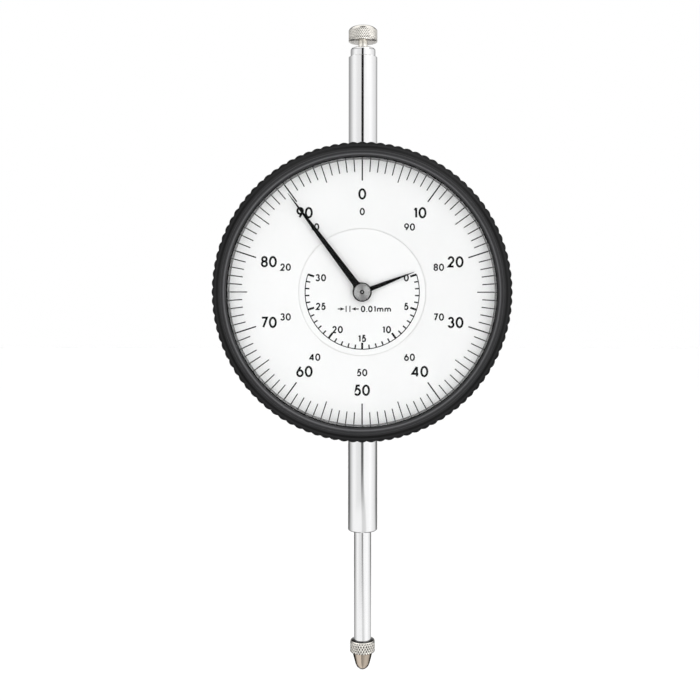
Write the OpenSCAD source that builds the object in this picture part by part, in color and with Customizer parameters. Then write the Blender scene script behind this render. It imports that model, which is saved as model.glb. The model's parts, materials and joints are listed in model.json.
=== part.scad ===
// Large-dial plunger indicator. The pointer turns once per millimetre of travel and a
// smaller hand on the same centre counts the turns.
//
// The origin is the middle of the clamping stem, +Z runs up the spindle and the dial faces -Y.
// Pieces round the dial are drawn inside facing(): x right, y up, and the third coordinate is
// the distance in front of the spindle's axis. Pieces on the spindle are drawn inside
// beside_dial(), with heights measured from the dial's centre.

/* [Stem and spindle] */
// Diameter of the clamping stem
stem_d = 8; // [7.9:0.05:8.1]
// Length of plain stem that a holder can clamp
stem_length = 26; // [24:0.5:30]
// Diameter of the spindle
spindle_d = 4.7; // [4.6:0.02:4.7]
// Travel of the spindle
travel = 30; // [25:0.5:30.5]
// Distance left between the stem and the contact point at full travel
end_gap = 0.1; // [0.1:0.1:1]

/* [Contact point and lifting knob] */
// Diameter of the contact point's collar
collar_d = 6.8; // [6:0.1:7.2]
// Height of the contact point's collar
collar_height = 3.2; // [2.5:0.1:4]
// Length of the contact point below its collar
nose_length = 4.9; // [4.4:0.1:5.5]
// Diameter of the ball in the contact point
ball_d = 3.2; // [2.8:0.1:3.3]
// Diameter of the lifting knob
knob_d = 7.9; // [6.5:0.1:9]
// Height of the lifting knob
knob_height = 4.2; // [3.4:0.1:5]

/* [Bezel and dial] */
// Diameter over the bezel's grip
bezel_d = 78; // [77.6:0.1:80]
// Number of lobes round the grip
lobes = 100; // [60:5:120]
// Inner diameter of the bezel's lip
lip_d = 70; // [69.6:0.1:70.4]
// Diameter of the fixed counter dial in the middle
counter_dial_d = 33; // [32:0.5:34]
// Length of the pointer
pointer_length = 32.1; // [28:0.1:33.5]
// Pointer at rest, in degrees clockwise from the top
pointer_rest = -37.1; // [-180:0.1:180]
// Length of the counter hand
counter_hand_length = 14.5; // [12:0.1:15.5]
// Counter hand at rest, in degrees clockwise from the top
counter_rest = 68.6; // [-180:0.1:180]

/* [Back] */
// Thickness of the lug
lug_thickness = 5; // [4:0.5:6]
// Diameter of the hole through the lug
lug_hole_d = 6.5; // [6:0.1:6.8]

/* [Gear train] */
// Distance between neighbouring rack teeth
rack_pitch = 0.625; // [0.62:0.001:0.63]
// Teeth of the pinion on the rack
rack_pinion_teeth = 16; // [16]
// Teeth of the first wheel and of the take-up wheel
wheel_teeth = 100; // [100]
// Teeth of the centre pinion
centre_teeth = 10; // [10]
// Teeth of the pinion that drives the counter
counter_pinion_teeth = 12; // [12]
// Teeth of the counter wheel
counter_wheel_teeth = 60; // [60]
// Distance from the centre arbor to the arbors round it
centre_distance = 11; // [10.9:0.05:11.1]

/* [Hidden] */

$fn = 96;
over = 1;      // how far a cut runs past the face it opens
fit = 0.01;    // radial gap of a piece fixed in another
run = 0.02;    // radial gap of a shaft in its bearing

// Case, in front (+) of or behind (-) the spindle's axis
case_r = 36.6;
case_bore_r = 33.2;
case_back = -8;
case_shoulder = 8.9;
spigot_r = 35.5;
spigot_front = 11.7;
boss_ring_r = 29.6;
boss_r = 3.9;
boss_step = 0.2;
case_screw_r = 1;
case_head_r = 1.9;
case_head = 0.95;
plate_screw_depth = 4.2;
cover_screw_depth = 4.4;
neck_boss_r = 6;
neck_face = 38.5;
groove_wire = 10.4;
groove_seal = 9.41;
wire_r = 0.4;
wire_ring_r = 35.45;
seal_r = 0.33;
seal_ring_r = 35.2;
gasket_in_r = 34.2;
gasket_out_r = 35.4;
gasket_depth = 0.8;
cover_thickness = 1.8;
cover_back = case_back - cover_thickness;
lug_base_r = 9;
lug_r = 6.5;
lug_reach = 6.4;

// Spindle, by height from the dial's centre
edge = 0.4;
stem_edge = 0.6;
stem_lead = 0.04;
stem_face = -(neck_face + stem_length + stem_edge);
dial_z = neck_face + stem_length / 2;
tube_spigot_r = 3.6;
tube_bore_r = 3;
stem_top = -31;
bush_length = 9;
buffer_height = 0.95;
sleeve_r = stem_d / 2 - 0.035;
sleeve_low = 24;
sleeve_top = 64.3;
sleeve_edge = 0.12;
cap_r = 3.45;
cap_top = 66.75;
cap_rounding = 0.75;
cap_spigot = 1.6;
upper_bush_length = 7;
spindle_r = spindle_d / 2;
spindle_top = sleeve_low + upper_bush_length;
rod_r = 1.25;
rod_depth = 5;
thread_r = 1.25;
thread_depth = 5.2;
collar_top = stem_face - travel - end_gap;
nose_top = collar_top - collar_height;
nose_tip = nose_top - nose_length;
stop_r = 2.85;
stop_height = 1.6;
knob_bottom = 68.55;
guide_pin_r = 0.8;
guide_pin_z = -16;
guide_pin_root = 1.6;
guide_pin_tip = 9.6;
spring_x = 8.3;
spring_post_z = -29.5;

// Train: places of the arbors round the centre, and gear proportions
rack_flat = spindle_r - 0.25;
addendum = 0.32;
dedendum = 0.42;
root_width = 0.4;
pitch_width = 0.32;
tip_width = 0.13;
rack_pinion_r = rack_pitch * rack_pinion_teeth / 360 * 180 / PI;
first_x = -(rack_flat - addendum * rack_pitch + rack_pinion_r);
first_y = sqrt(centre_distance * centre_distance - first_x * first_x);
first_angle = atan2(first_y, first_x);
takeup_angle = first_angle + 180;
centre_r = centre_distance * centre_teeth / (centre_teeth + wheel_teeth);
wheel_r = centre_distance - centre_r;
counter_pinion_r = centre_distance * counter_pinion_teeth
    / (counter_pinion_teeth + counter_wheel_teeth);
counter_wheel_r = centre_distance - counter_pinion_r;
wheel_thickness = 0.5;
arbor_r = 0.8;
pivot_r = 0.35;
front_pivot_r = 0.5;
centre_arbor_r = 0.5;
arbor_recess = 0.25;
arbor_tip_r = 0.13;
jewel_r = 1;
jewel_height = 0.8;

// Levels in front of the spindle's axis
plate_back = 3;
plate_front = 4.2;
first_wheel_level = 4.9;
takeup_wheel_level = 6.1;
centre_pinion_low = 4.6;
centre_pinion_high = 7;
hairspring_level = 7.3;
hairspring_width = 0.7;
bridge_back = 8.6;
bridge_front = 9.6;
counter_level = 10.7;
counter_front = 11.3;
dial_back = 12.5;
counter_dial_front = 12.9;
dial_front = 13;
counter_hand_level = 13.45;
pipe_front = 13.65;
hub_back = 13.75;
pointer_level = 14.15;
hub_cap_level = 14.4;
hub_front = 14.85;
crystal_back = 15.1;
crystal_front = 16.1;
lip_back = 16.3;
bezel_front = 17.1;
bezel_back = 9;
bezel_bore_r = 35.56;
dial_rim_r = 34.6;
spacer_slope = 0.3;

// Movement plates
plate_r = 32;
notch_half = 6.5;
notch_start = 23;
pillar_r = 1.6;
rivet_r = 0.9;
small_screw_r = 0.7;
small_screw_depth = 2.6;
small_head_r = 1.3;
small_head = 0.6;
front_pillar_ring = 14;
front_plate_r = 15.9;
rear_gap = -3.6;
rear_thickness = 1.2;
rear_pillars_at = [[-10.5, 16.5], [-10.5, 4.4]];
rear_bridge_r = 2.4;
foot_r = 1;
foot_ring = 13;
foot_angles = [50, 165, 285];
rail_x = 4.5;
rail_web = 1.2;
rail_low = -20;
rail_high = 19;
rail_flange = 1;
rail_width = 4.7;
rail_screws_at = [[7.3, -17], [7.3, 16]];
rail_screw_r = 0.6;
stud_r = 0.5;
collet_r = 1.3;
hairspring_end_r = 5.6;
hairspring_turns = 6;
hairspring_strip = 0.12;
pipe_in_r = 1.23;
pipe_out_r = 1.7;
centre_tube_r = 1.2;
hub_tube_r = 1.1;

// Colours
black = "#202123";
steel = "#b9bcc0";
bright = "#d4d5d6";
nickel = "#b5afa3";
brass_colour = "#c9a24f";
bronze = "#a9793f";
white = "#f4f4f1";
rubber = "#26272a";
ruby = "#b02040";

// ---- Helpers ----

module beside_dial() translate([0, 0, dial_z]) children();

module facing(level = 0) beside_dial() rotate([90, 0, 0]) translate([0, 0, level]) children();

module at_angle(r, angle) rotate(angle) translate([r, 0]) children();

module on_first_arbor() at_angle(centre_distance, first_angle) rotate(-first_angle) children();

module on_takeup_arbor() at_angle(centre_distance, takeup_angle) rotate(-takeup_angle) children();

module disc(r, low, high) translate([0, 0, low]) cylinder(r = r, h = high - low);

module ring(r_in, r_out, low, high)
    rotate_extrude() translate([r_in, low]) square([r_out - r_in, high - low]);

module up_down() rotate([-90, 0, 0]) children();

module at_bosses() for (n = [0 : 3]) at_angle(boss_ring_r, 45 + 90 * n) children();

module at_front_pillars() for (turn = [0, 180])
    at_angle(front_pillar_ring, first_angle - 90 + turn) children();

module at_rear_pillars() for (p = rear_pillars_at) translate(p) children();

module at_rail_screws() for (p = rail_screws_at) translate(p) children();

module at_feet() for (a = foot_angles) at_angle(foot_ring, a) children();

module plate_hole(r) disc(r + fit, plate_back - over, plate_front + over);

module bridge_hole(r) disc(r + fit, bridge_back - over, bridge_front + over);

// A slotted screw whose head rests on height 0 and whose shank points down.
module screw(shank_r, length, head_r, head_h, slots = 1) {
    slot_w = head_r * 0.28;
    difference() {
        union() {
            disc(head_r, 0, head_h);
            disc(shank_r, -length, over / 4);
        }
        for (n = [1 : slots]) rotate(90 * n)
            translate([-2 * head_r, -slot_w / 2, head_h * 0.55]) cube([4 * head_r, slot_w, head_h]);
    }
}

// Gear outline. Each tooth is three corners up and three down, as parts of the pitch, and is
// narrow enough to leave backlash on both sides.
tooth_side = [[-dedendum, root_width / 2], [0, pitch_width / 2], [addendum, tip_width / 2]];
tooth = concat([for (p = tooth_side) [p[0], -p[1]]], [for (i = [2 : -1 : 0]) tooth_side[i]]);

function gear_outline(teeth, pitch_r) =
    let (pitch = 2 * PI * pitch_r / teeth)
    [for (n = [0 : teeth - 1], p = tooth)
        let (r = pitch_r + p[0] * pitch, a = 360 * n / teeth + p[1] * pitch / r * 180 / PI)
        [r * cos(a), r * sin(a)]];

module gear(teeth, pitch_r, low, high)
    translate([0, 0, low]) linear_extrude(high - low) polygon(gear_outline(teeth, pitch_r));

// A brass wheel with round lightening holes, bored for its arbor.
module wheel(teeth, pitch_r, low, thickness, bore_r, holes = 5) difference() {
    gear(teeth, pitch_r, low, low + thickness);
    disc(bore_r + fit, low - over, low + thickness + over);
    for (n = [1 : holes]) at_angle(pitch_r * 0.57, 360 * n / holes)
        disc(pitch_r * 0.23, low - over, low + thickness + over);
}

// Tube of wire along a path, closed at both ends. Each ring of corners is turned as little as
// possible from the one before it.
function unit(v) = v / norm(v);
function along(path, i) =
    unit(path[min(i + 1, len(path) - 1)] - path[max(i - 1, 0)]);
function flattened(v, t) = unit(v - (v * t) * t);
function sides_of(path, first_side) =
    [for (i = 0, s = flattened(first_side, along(path, 0)); i < len(path);
        i = i + 1, s = i < len(path) ? flattened(s, along(path, i)) : s) s];

module wire(path, r, corners, first_side) {
    sides = sides_of(path, first_side);
    points = [for (i = [0 : len(path) - 1], c = [0 : corners - 1])
        let (a = 360 * c / corners)
        path[i] + r * (cos(a) * sides[i] + sin(a) * cross(along(path, i), sides[i]))];
    last = len(path) - 1;
    walls = [for (i = [0 : last - 1], c = [0 : corners - 1])
        let (d = (c + 1) % corners)
        [i * corners + d, i * corners + c, (i + 1) * corners + c, (i + 1) * corners + d]];
    start = [[for (c = [0 : corners - 1]) c]];
    end = [[for (c = [corners - 1 : -1 : 0]) last * corners + c]];
    polyhedron(points, concat(walls, start, end));
}

// ---- Housing ----

module case() color(black) facing() difference() {
    union() {
        rotate_extrude() polygon([
            [case_bore_r, case_back], [gasket_in_r, case_back],
            [gasket_in_r, case_back + gasket_depth], [gasket_out_r, case_back + gasket_depth],
            [gasket_out_r, case_back], [case_r, case_back],
            [case_r, case_shoulder], [spigot_r, case_shoulder],
            [spigot_r, groove_seal - 0.35], [spigot_r - 0.64, groove_seal - 0.35],
            [spigot_r - 0.64, groove_seal + 0.35], [spigot_r, groove_seal + 0.35],
            [spigot_r, groove_wire - 0.4], [spigot_r - 0.5, groove_wire - 0.4],
            [spigot_r - 0.5, groove_wire + 0.4], [spigot_r, groove_wire + 0.4],
            [spigot_r, spigot_front], [case_bore_r, spigot_front]
        ]);
        at_bosses() disc(boss_r, case_back + boss_step, plate_back);
        for (turn = [0, 180]) rotate(turn) up_down() disc(neck_boss_r, case_bore_r - 1, neck_face);
    }
    for (turn = [0, 180]) rotate(turn) up_down()
        disc(tube_spigot_r + fit, case_bore_r - 3, neck_face + over);
    at_bosses() {
        disc(case_screw_r + fit, plate_back - plate_screw_depth, plate_back + over);
        disc(case_screw_r + fit, case_back - over, case_back + cover_screw_depth);
    }
}

module stem() color(bright) beside_dial() rotate_extrude() polygon([
    [tube_bore_r + fit, stem_face], [stem_d / 2 - stem_edge / 2, stem_face],
    [stem_d / 2 - stem_lead, stem_face + stem_edge / 2], [stem_d / 2, stem_face + stem_edge],
    [stem_d / 2, -neck_face],
    [tube_spigot_r, -neck_face], [tube_spigot_r, stem_top], [tube_bore_r + fit, stem_top]
]);

module stem_bush() color(bronze) beside_dial()
    ring(spindle_r + run, tube_bore_r, stem_face + edge, stem_face + edge + bush_length);

module upper_sleeve() color(bright) beside_dial() rotate_extrude() polygon([
    [tube_bore_r + fit, sleeve_low], [tube_spigot_r, sleeve_low], [tube_spigot_r, neck_face],
    [sleeve_r, neck_face], [sleeve_r, sleeve_top - sleeve_edge],
    [sleeve_r - sleeve_edge, sleeve_top], [tube_bore_r + fit, sleeve_top]
]);

module upper_bush() color(bronze) beside_dial()
    ring(spindle_r + run, tube_bore_r, sleeve_low, sleeve_low + upper_bush_length);

module sleeve_cap() color(bright) beside_dial() rotate_extrude() polygon(concat(
    [
        [rod_r + 2 * run, cap_top], [rod_r + 2 * run, sleeve_top - cap_spigot],
        [tube_bore_r, sleeve_top - cap_spigot], [tube_bore_r, sleeve_top], [cap_r, sleeve_top]
    ],
    [for (a = [0 : 15 : 90])
        [cap_r - cap_rounding * (1 - cos(a)), cap_top - cap_rounding * (1 - sin(a))]]
));

module stop_buffer() color(rubber) beside_dial()
    ring(spindle_r + 0.2, tube_spigot_r - 0.3, stem_top, stem_top + buffer_height);

module back_cover() color(steel) difference() {
    facing() union() {
        disc(case_r - 0.2, cover_back, case_back);
        disc(lug_base_r, cover_back - 0.8, cover_back);
        translate([0, 0, cover_back - lug_reach]) {
            rotate([0, 90, 0]) cylinder(r = lug_r, h = lug_thickness, center = true);
            translate([-lug_thickness / 2, -lug_r, 0]) cube([lug_thickness, 2 * lug_r, lug_reach]);
        }
    }
    facing(cover_back - lug_reach) rotate([0, 90, 0])
        cylinder(d = lug_hole_d, h = lug_thickness + 2 * over, center = true);
    facing() at_bosses() {
        disc(case_screw_r + fit, cover_back - over, case_back + over);
        disc(case_head_r + 0.3, cover_back - over, cover_back + case_head);
    }
}

module cover_gasket() color(rubber) facing()
    ring(gasket_in_r + fit, gasket_out_r - fit, case_back, case_back + gasket_depth);

module cover_screws() color(steel) facing(cover_back + case_head) at_bosses() mirror([0, 0, 1])
    screw(case_screw_r, cover_thickness - case_head + cover_screw_depth - 0.3, case_head_r, case_head, 2);

module bezel_wire() color(steel) facing(groove_wire)
    rotate(15) rotate_extrude(angle = 330) translate([wire_ring_r, 0]) circle(r = wire_r - 0.02);

module bezel_seal() color(rubber) facing(groove_seal)
    rotate_extrude() translate([seal_ring_r, 0]) circle(r = seal_r);

// ---- Movement frame ----

module main_plate() color(brass_colour) facing() difference() {
    disc(plate_r, plate_back, plate_front);
    for (turn = [0, 180]) rotate(turn)
        translate([-notch_half, notch_start, plate_back - over]) cube([2 * notch_half, plate_r, 4]);
    at_bosses() plate_hole(case_screw_r);
    plate_hole(jewel_r);
    on_takeup_arbor() plate_hole(jewel_r);
    on_first_arbor() plate_hole(arbor_r + 0.5);
    at_front_pillars() plate_hole(rivet_r);
    at_rear_pillars() plate_hole(rivet_r);
    at_rail_screws() plate_hole(rail_screw_r);
    translate([spring_x, spring_post_z]) plate_hole(guide_pin_r);
}

module main_plate_screws() color(steel) facing(plate_front) at_bosses()
    screw(case_screw_r, plate_front - plate_back + plate_screw_depth - 0.3, case_head_r, case_head);

module front_plate() color(brass_colour) facing() difference() {
    disc(front_plate_r, bridge_back, bridge_front);
    bridge_hole(centre_tube_r);
    on_first_arbor() bridge_hole(jewel_r);
    on_takeup_arbor() bridge_hole(jewel_r);
    at_stud() bridge_hole(stud_r);
    at_front_pillars() bridge_hole(small_screw_r);
    at_feet() bridge_hole(foot_r - 0.4);
}

module front_pillars() color(steel) facing() at_front_pillars() difference() {
    union() {
        disc(pillar_r, plate_front, bridge_back);
        disc(rivet_r, plate_back, plate_front);
    }
    disc(small_screw_r + fit, bridge_back - small_screw_depth, bridge_back + over);
}

module front_plate_screws() color(steel) facing(bridge_front) at_front_pillars()
    screw(small_screw_r, bridge_front - bridge_back + small_screw_depth - 0.2, small_head_r, small_head);

module rear_bridge() color(brass_colour) facing() difference() {
    translate([0, 0, rear_gap - rear_thickness]) linear_extrude(rear_thickness) hull() {
        at_rear_pillars() circle(r = rear_bridge_r, $fn = 32);
        on_first_arbor() circle(r = rear_bridge_r, $fn = 32);
    }
    at_rear_pillars() disc(small_screw_r + fit, rear_gap - 2 * rear_thickness, rear_gap + over);
    on_first_arbor() disc(jewel_r + fit, rear_gap - 2 * rear_thickness, rear_gap + over);
}

module rear_pillars() color(steel) facing() at_rear_pillars() difference() {
    union() {
        disc(pillar_r, rear_gap, plate_back);
        disc(rivet_r, plate_back, plate_front);
    }
    disc(small_screw_r + fit, rear_gap - over, rear_gap + small_screw_depth);
}

module rear_bridge_screws() color(steel) facing(rear_gap - rear_thickness) at_rear_pillars()
    mirror([0, 0, 1])
        screw(small_screw_r, rear_thickness + small_screw_depth - 0.2, small_head_r, small_head);

module jewel(hole_r, low) ring(hole_r + run, jewel_r, low, low + jewel_height);

module bearing_jewels() color(ruby) facing() {
    jewel(pivot_r, plate_front - jewel_height);
    on_takeup_arbor() jewel(pivot_r, plate_front - jewel_height);
    on_takeup_arbor() jewel(pivot_r, bridge_back);
    on_first_arbor() jewel(front_pivot_r, bridge_back);
    on_first_arbor() jewel(pivot_r, rear_gap - jewel_height);
}

module centre_tube() color(steel) facing() {
    ring(centre_arbor_r + run, 2, bridge_back - 0.6, bridge_back);
    ring(centre_arbor_r + run, centre_tube_r, bridge_back - 0.6, dial_front + 0.2);
}

// A step round its back reaches behind the outer dial and closes the gap between the two.
module counter_dial() color(white) facing() {
    rotate_extrude() polygon([
        [2.1, dial_back], [counter_dial_d / 2 - 1, dial_back],
        [counter_dial_d / 2 - 1, dial_back - 0.5], [counter_dial_d / 2 + 1.1, dial_back - 0.5],
        [counter_dial_d / 2 + 1.1, dial_back - 0.1], [counter_dial_d / 2, dial_back - 0.1],
        [counter_dial_d / 2, counter_dial_front], [2.1, counter_dial_front]
    ]);
    at_feet() {
        disc(foot_r, bridge_front, dial_back + 0.2);
        disc(foot_r - 0.4, bridge_back, bridge_front + 0.2);
    }
}

// ---- Guide and springs ----

module guide_rail() color(steel) facing() difference() {
    union() {
        translate([rail_x, rail_low, -plate_back])
            cube([rail_web, rail_high - rail_low, 2 * plate_back]);
        translate([rail_x, rail_low, plate_back - rail_flange])
            cube([rail_width, rail_high - rail_low, rail_flange]);
    }
    slot_r = guide_pin_r + run;
    slot_low = guide_pin_z - 0.2;
    slot_high = guide_pin_z + travel + 0.2;
    translate([rail_x - over, slot_low, -slot_r])
        cube([rail_web + 2 * over, slot_high - slot_low, 2 * slot_r]);
    for (end = [slot_low, slot_high]) translate([rail_x - over, end, 0])
        rotate([0, 90, 0]) cylinder(r = slot_r, h = rail_web + 2 * over);
    at_rail_screws() disc(rail_screw_r + fit, plate_back - 2 * rail_flange, plate_back + over);
}

module guide_rail_screws() color(steel) facing(plate_front) at_rail_screws()
    screw(rail_screw_r, plate_front - plate_back + rail_flange - 0.2, small_head_r, small_head);

module spring_post() color(steel) facing() translate([spring_x, spring_post_z]) {
    disc(guide_pin_r, -1.6, plate_front);
    disc(guide_pin_r + 0.4, -2, -1.6);
}

// Extension spring from the post up to the guide pin, with a loop at each end.
spring_wire = 0.18;
spring_r = 1.45;
spring_turns = 12;
loop_r = guide_pin_r + spring_wire + 0.05;
coil_low = spring_post_z + loop_r + 0.7;
coil_high = guide_pin_z - loop_r - 0.7;

module return_spring() color(steel) beside_dial() translate([spring_x, 0, 0]) wire(concat(
    [for (a = [-160 : 25 : 90]) [loop_r * cos(a), 0, spring_post_z + loop_r * sin(a)]],
    [for (i = [0 : 12 * spring_turns])
        let (a = 30 * i, ends = min(i, 12 * spring_turns - i), r = spring_r * min(1, ends / 8))
        [r * cos(a), r * sin(a), coil_low + (coil_high - coil_low) * i / (12 * spring_turns)]],
    [for (a = [-90 : 25 : 160]) [0, loop_r * cos(a), guide_pin_z + loop_r * sin(a)]]
), spring_wire, 6, [0, 1, 0]);

// Spiral from the collet out to the stud, round the take-up arbor.
hairspring_start_r = collet_r + hairspring_strip / 2 + run;
hairspring_steps = 24 * hairspring_turns;
function spiral(steps, side) = [for (i = steps)
    let (grown = (hairspring_end_r - hairspring_start_r) * i / hairspring_steps,
        r = hairspring_start_r + grown + side * hairspring_strip / 2)
    [r * cos(15 * i), r * sin(15 * i)]];

module hairspring() color(steel) facing(hairspring_level) on_takeup_arbor()
    linear_extrude(hairspring_width) polygon(concat(
        spiral([0 : hairspring_steps], 1), spiral([hairspring_steps : -1 : 0], -1)
    ));

module at_stud() on_takeup_arbor() translate([hairspring_end_r, stud_r + run]) children();

module hairspring_stud() color(steel) facing() at_stud()
    disc(stud_r, hairspring_level - 0.2, bridge_front);

// ---- Spindle ----

// Gaps between the rack's teeth, from a flat on the spindle's side. A gap faces the pinion.
rack_low = first_y - travel - 2.4;
rack_teeth = ceil((first_y + 2.4 - rack_low) / rack_pitch);
rack_pitch_x = rack_flat - addendum * rack_pitch;
rack_base = first_y - (round((first_y - rack_low) / rack_pitch) + 0.5) * rack_pitch;
rack_outline = [for (n = [0 : rack_teeth], p = tooth)
    [-(rack_pitch_x + p[0] * rack_pitch), rack_base + (n + p[1]) * rack_pitch]];
rack_outside = -spindle_r - over;
rack_last = rack_outline[len(rack_outline) - 1];

module rack_cut() translate([0, spindle_d, 0]) rotate([90, 0, 0]) linear_extrude(2 * spindle_d)
    polygon(concat([[rack_outside, rack_outline[0][1]]], rack_outline, [[rack_outside, rack_last[1]]]));

module spindle() color(bright) beside_dial() difference() {
    rotate_extrude() polygon([
        [0, collar_top], [spindle_r, collar_top], [spindle_r, spindle_top - edge / 2],
        [spindle_r - edge / 2, spindle_top], [0, spindle_top]
    ]);
    rack_cut();
    disc(rod_r + fit, spindle_top - rod_depth, spindle_top + over);
    disc(thread_r + fit, collar_top - over, collar_top + thread_depth);
    translate([guide_pin_root, 0, guide_pin_z]) rotate([0, 90, 0])
        cylinder(r = guide_pin_r + fit, h = spindle_r);
}

module stop_collar() color(steel) beside_dial()
    ring(spindle_r + fit, stop_r, stem_top + 1, stem_top + 1 + stop_height);

module guide_pin() color(steel) beside_dial() translate([0, 0, guide_pin_z]) rotate([0, 90, 0]) {
    disc(guide_pin_r, guide_pin_root, guide_pin_tip);
    disc(guide_pin_r + 0.4, guide_pin_tip - 0.4, guide_pin_tip);
}

module lifting_rod() color(steel) beside_dial()
    disc(rod_r, spindle_top - rod_depth, knob_bottom + knob_height - 1);

module lifting_knob() color(nickel) beside_dial() translate([0, 0, knob_bottom]) rotate_extrude() polygon([
    [rod_r + fit, 0], [knob_d / 2 - 0.5, 0], [knob_d / 2, 0.5], [knob_d / 2, knob_height - 1.25],
    [knob_d / 2 - 0.4, knob_height - 0.7], [knob_d / 2 - 0.95, knob_height - 0.3],
    [knob_d / 2 - 1.75, knob_height - 0.05], [knob_d / 2 - 2.6, knob_height], [0, knob_height],
    [0, knob_height - 1 + fit], [rod_r + fit, knob_height - 1 + fit]
]);

// The nose tapers from the collar and its lip closes round the ball, below the ball's centre.
ball_z = nose_tip + ball_d / 2;
nose = [
    [ball_d / 2 - 0.1, -0.85], [ball_d / 2 + 0.2, -0.5], [ball_d / 2 + 0.42, 0.05],
    [ball_d / 2 + 0.75, 1.15], [ball_d / 2 + 1.04, 2.45]
];
module contact_point() color(nickel) beside_dial() difference() {
    rotate_extrude() polygon(concat(
        [[0, ball_z + nose[0][1]]],
        [for (p = nose) [p[0], ball_z + p[1]]],
        [
            [ball_d / 2 + 1.15, nose_top], [collar_d / 2 - 0.3, nose_top],
            [collar_d / 2, nose_top + 0.3], [collar_d / 2, collar_top - 0.4],
            [collar_d / 2 - 0.15, collar_top - 0.25], [spindle_r, collar_top],
            [thread_r, collar_top], [thread_r, collar_top + thread_depth - 0.2],
            [0, collar_top + thread_depth - 0.2]
        ]
    ));
    translate([0, 0, ball_z]) sphere(r = ball_d / 2 + fit);
}

module contact_ball() color(bright) beside_dial() translate([0, 0, ball_z]) sphere(d = ball_d);

// ---- Gear train ----

// At rest a tooth of each driving gear points along the line to its partner's gap.
module rack_pinion() color(steel) facing() on_first_arbor() {
    gear(rack_pinion_teeth, rack_pinion_r, -1.2, 1.2);
    disc(arbor_r, rear_gap + 0.2, bridge_back - 0.2);
    disc(pivot_r, rear_gap - jewel_height, rear_gap + 0.2);
    disc(front_pivot_r, bridge_back - 0.2, counter_front + 0.2);
}

module first_wheel() color(brass_colour) facing() on_first_arbor() {
    rotate(first_angle + 180) wheel(wheel_teeth, wheel_r, first_wheel_level, wheel_thickness, arbor_r);
    ring(arbor_r + fit, 1.8, first_wheel_level, first_wheel_level + 2 * wheel_thickness);
}

module counter_pinion() color(brass_colour) facing() on_first_arbor() rotate(first_angle + 180) difference() {
    gear(counter_pinion_teeth, counter_pinion_r, counter_level - 0.1, counter_front + 0.1);
    disc(front_pivot_r + fit, counter_level - over, counter_front + over);
}

module centre_pinion() color(steel) facing() {
    rotate(first_angle + 180 / centre_teeth)
        gear(centre_teeth, centre_r, centre_pinion_low, centre_pinion_high);
    disc(pivot_r, plate_front - jewel_height, centre_pinion_low);
    disc(centre_arbor_r, centre_pinion_low - 0.2, hub_front - arbor_recess);
    disc(arbor_tip_r, hub_front - arbor_recess - 0.1, hub_front + 0.1);
}

module takeup_arbor() color(steel) facing() on_takeup_arbor() {
    disc(pivot_r, plate_front - jewel_height, bridge_back + jewel_height);
    disc(arbor_r, plate_front + 0.2, bridge_back - 0.2);
}

module takeup_wheel() color(brass_colour) facing() on_takeup_arbor() rotate(takeup_angle + 180)
    wheel(wheel_teeth, wheel_r, takeup_wheel_level, wheel_thickness, arbor_r);

module hairspring_collet() color(brass_colour) facing() on_takeup_arbor()
    ring(arbor_r + fit, collet_r, takeup_wheel_level + wheel_thickness, bridge_back - 0.4);

module counter_pipe() color(steel) facing() ring(pipe_in_r, pipe_out_r, bridge_front + 0.1, pipe_front);

module counter_wheel() color(brass_colour) facing() rotate(first_angle + 180 / counter_wheel_teeth)
    wheel(counter_wheel_teeth, counter_wheel_r, counter_level, counter_front - counter_level, pipe_out_r);

// A hand: a round boss and a blade that narrows to its tip. The blade's half-widths are
// given at its root, at its middle and at its tip.
module hand(length, boss_r, bore_r, thickness, half_widths, middle) difference() {
    union() {
        disc(boss_r, 0, thickness);
        linear_extrude(thickness) polygon([
            [-half_widths[0], 0], [-half_widths[1], middle], [-half_widths[2], length],
            [half_widths[2], length], [half_widths[1], middle], [half_widths[0], 0]
        ]);
    }
    disc(bore_r, -over, thickness + over);
}

module pointer() color(black) facing(pointer_level) rotate(-pointer_rest)
    hand(pointer_length, 2.6, hub_tube_r + fit, 0.25, [0.9, 0.58, 0.06], 18.2);

module pointer_hub() color(steel) facing() {
    ring(centre_arbor_r + fit, hub_tube_r, hub_back, hub_cap_level);
    ring(centre_arbor_r + fit, 2.3, hub_cap_level, hub_front);
}

module counter_hand() color(black) facing(counter_hand_level) rotate(-counter_rest)
    hand(counter_hand_length, 2.3, pipe_out_r + fit, 0.2, [0.68, 0.3, 0.06], 10.4);

// ---- Bezel ----

// Lobes are round outside and meet in sharp valleys.
lobe_depth = 0.35;
lobe_steps = 6;
function grip_outline() = [for (i = [0 : lobes * lobe_steps - 1])
    let (a = 360 * i / (lobes * lobe_steps), r = bezel_d / 2 - lobe_depth * (1 - abs(cos(a * lobes / 2))))
    [r * cos(a), r * sin(a)]];

module bezel() color(black) facing() difference() {
    union() {
        translate([0, 0, bezel_back + 0.3]) linear_extrude(6) polygon(grip_outline());
        rotate_extrude() polygon([
            [0, bezel_back], [bezel_d / 2 - 0.9, bezel_back], [bezel_d / 2 - 0.6, bezel_back + 0.3],
            [bezel_d / 2 - 0.6, bezel_back + 6.3], [bezel_d / 2 - 1.2, bezel_back + 6.6],
            [36.9, bezel_front - 0.6], [36.6, bezel_front - 0.6], [36.4, bezel_front - 0.1],
            [36.1, bezel_front], [35.8, bezel_front], [35.5, bezel_front - 0.2],
            [lip_d / 2, bezel_front - 0.5], [0, bezel_front - 0.5]
        ]);
    }
    disc(bezel_bore_r, bezel_back - over, lip_back);
    disc(lip_d / 2, lip_back - over, bezel_front + over);
    ring(bezel_bore_r - over, bezel_bore_r + 0.4, groove_wire - 0.45, groove_wire + 0.45);
}

module crystal_gasket() color(rubber) facing()
    ring(lip_d / 2 + 0.05, bezel_bore_r - fit, crystal_front, lip_back);

module crystal() color("#dfe8ea", 0.25) facing() disc(bezel_bore_r - fit, crystal_back, crystal_front);

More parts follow.
